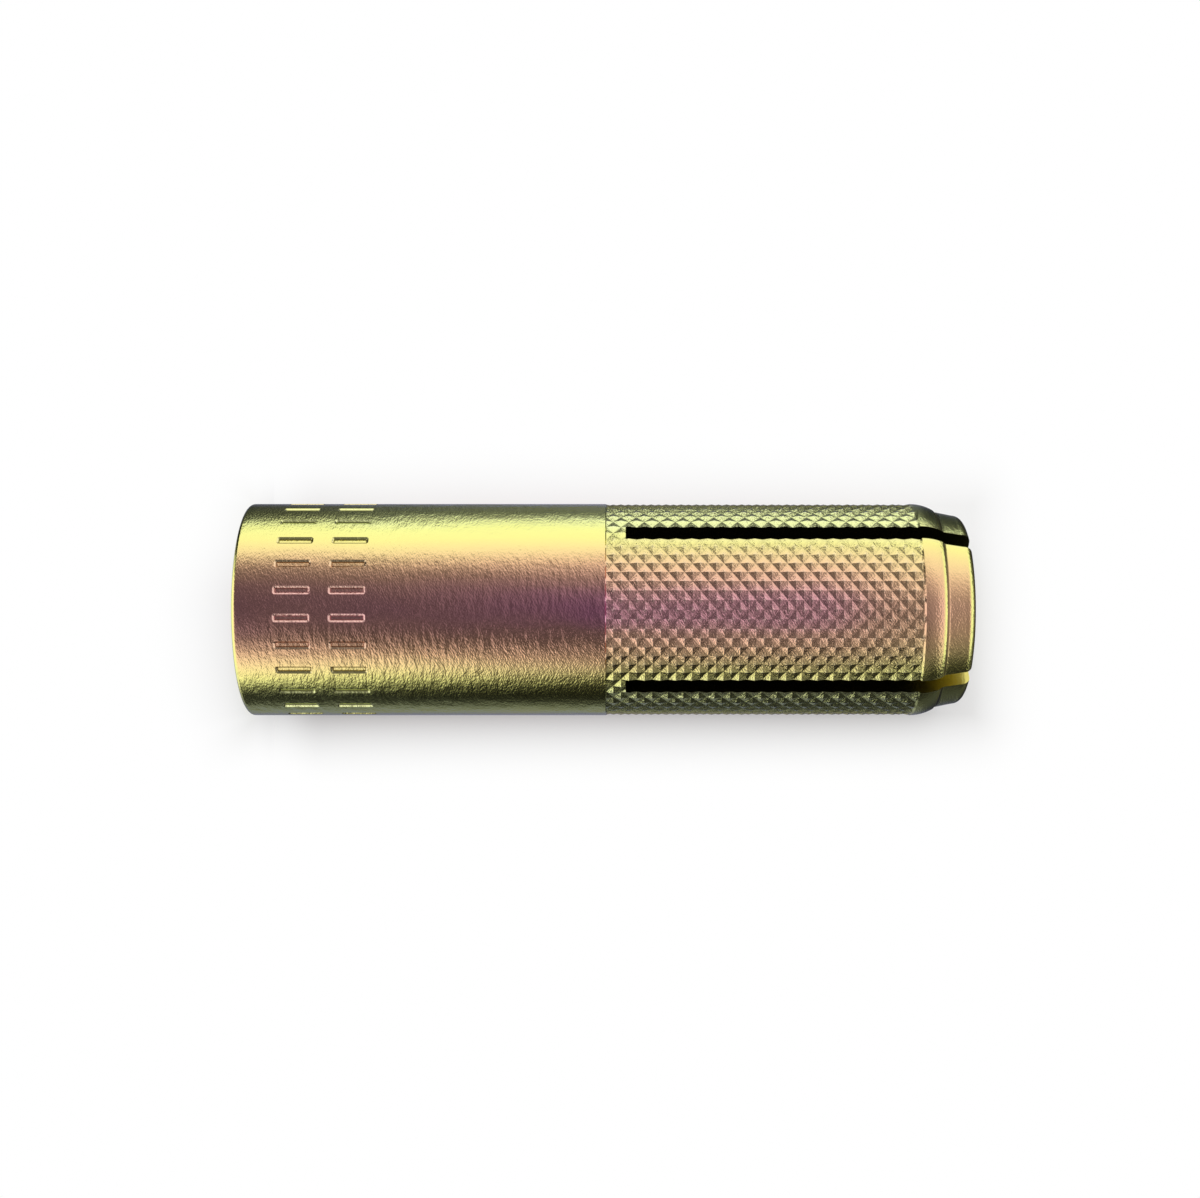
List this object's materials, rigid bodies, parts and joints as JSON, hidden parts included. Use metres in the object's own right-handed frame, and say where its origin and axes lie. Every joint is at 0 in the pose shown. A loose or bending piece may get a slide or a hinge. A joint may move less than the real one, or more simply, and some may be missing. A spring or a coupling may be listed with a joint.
{
  "type": "drop in anchor",
  "caption": "Tubular steel drop-in anchor for concrete, threaded inside at the rim, with a knurled and slotted expansion end and a loose wedge plug in its bore.",
  "frame": {"origin": "centre of the rim face at the threaded end, on which the anchor stands", "axes": "+Z along the sleeve's axis, from the threaded rim towards the slotted nose; -Y faces the picture's viewer"},
  "size_m": [0.0124, 0.0124, 0.0415],
  "materials": {
    "yellow_zinc": "glossy yellow chromate over zinc plating",
    "plain_steel": "turned steel"
  },
  "bodies": {
    "anchor_sleeve": {"anchor_sleeve": "yellow_zinc"},
    "expander_plug": {"expander_plug": "plain_steel"}
  },
  "joints": [
    {"name": "plug_drive", "type": "slide", "parent": "anchor_sleeve", "child": "expander_plug", "axis": [0, 0, 1], "range_m": [0, 0.0065]}
  ]
}
